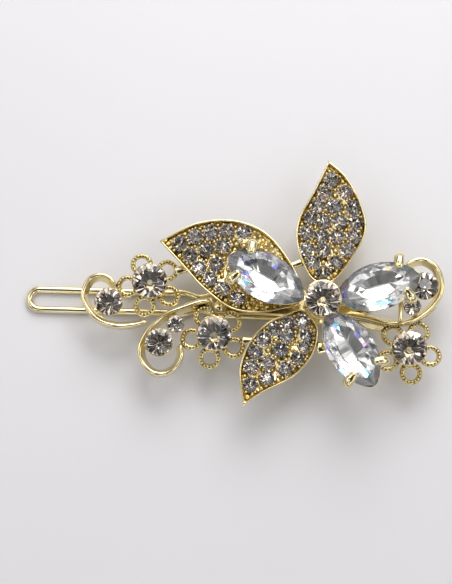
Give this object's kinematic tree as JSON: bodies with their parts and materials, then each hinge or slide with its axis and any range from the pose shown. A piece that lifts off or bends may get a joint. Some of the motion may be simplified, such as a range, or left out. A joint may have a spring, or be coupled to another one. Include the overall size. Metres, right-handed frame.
{
  "type": "rhinestone hair clip",
  "caption": "Side hair clip: a hinged spring-wire tongue under a pressed strip that carries a rhinestone flower, scrolls and ringed florets.",
  "frame": {"origin": "under the middle of the clip's bounding box, on the surface that the clip lies on", "axes": "+X along the clip from the tongue's free tip to its hinge, +Z out through the stones, away from the hair"},
  "size_m": [0.071, 0.043, 0.0125],
  "materials": {
    "spring_wire": "drawn spring wire, pale gold plated and polished",
    "pressed_strip": "pressed spring strip, pale gold plated, fine rolled grain",
    "scroll_gold": "cast alloy, pale gold plated and polished",
    "milgrain_gold": "cast alloy with beaded edges, pale gold plated",
    "petal_gold": "cast alloy, pale gold plated, polished rim and granular floor",
    "setting_gold": "stamped claw and cup settings, pale gold plated",
    "foiled_chaton": "faceted glass rhinestone with a silvered back",
    "pave_stones": "small faceted glass rhinestones, silvered backs, set in clear cement",
    "clear_crystal": "clear navette crystal, polished facets"
  },
  "bodies": {
    "clip": {"arm_lower_crystal": "scroll_gold", "arm_right_crystal": "scroll_gold", "branch_floret_to_flower": "scroll_gold", "branch_floret_to_left_petal": "scroll_gold", "branch_floret_to_lower_petal": "scroll_gold", "bridge_left_to_top_petal": "scroll_gold", "centre_cup": "setting_gold", "centre_stone": "foiled_chaton", "clip_strip": "pressed_strip", "crystal_left": "clear_crystal", "crystal_left_setting": "setting_gold", "crystal_lower": "clear_crystal", "crystal_lower_setting": "setting_gold", "crystal_right": "clear_crystal", "crystal_right_setting": "setting_gold", "floret_lower_cup": "setting_gold", "floret_lower_rosette": "milgrain_gold", "floret_lower_stone": "foiled_chaton", "floret_right_cup": "setting_gold", "floret_right_rosette": "milgrain_gold", "floret_right_stone": "foiled_chaton", "floret_upper_cup": "setting_gold", "floret_upper_rosette": "milgrain_gold", "floret_upper_stone": "foiled_chaton", "flower_hub": "scroll_gold", "lug_lower_petal": "scroll_gold", "petal_left": "petal_gold", "petal_left_stones": "pave_stones", "petal_lower": "petal_gold", "petal_lower_stones": "pave_stones", "petal_top": "petal_gold", "petal_top_stones": "pave_stones", "scroll_left": "scroll_gold", "scroll_left_cup": "setting_gold", "scroll_left_stone": "foiled_chaton", "scroll_lower": "scroll_gold", "scroll_lower_large_cup": "setting_gold", "scroll_lower_large_stone": "foiled_chaton", "scroll_lower_small_cup": "setting_gold", "scroll_lower_small_stone": "foiled_chaton", "scroll_right": "scroll_gold", "scroll_right_large_cup": "setting_gold", "scroll_right_large_stone": "foiled_chaton", "scroll_right_small_cup": "setting_gold", "scroll_right_small_stone": "foiled_chaton", "strut_right_crystal": "scroll_gold", "web_right_scroll": "scroll_gold"},
    "tongue": {"tongue_wire": "spring_wire"}
  },
  "joints": [
    {"name": "tongue_hinge", "type": "hinge", "parent": "clip", "child": "tongue", "pos_m": [0.02212, -0.0026, 0.0024], "axis": [0, -1, 0], "range_deg": [0, 60]}
  ]
}
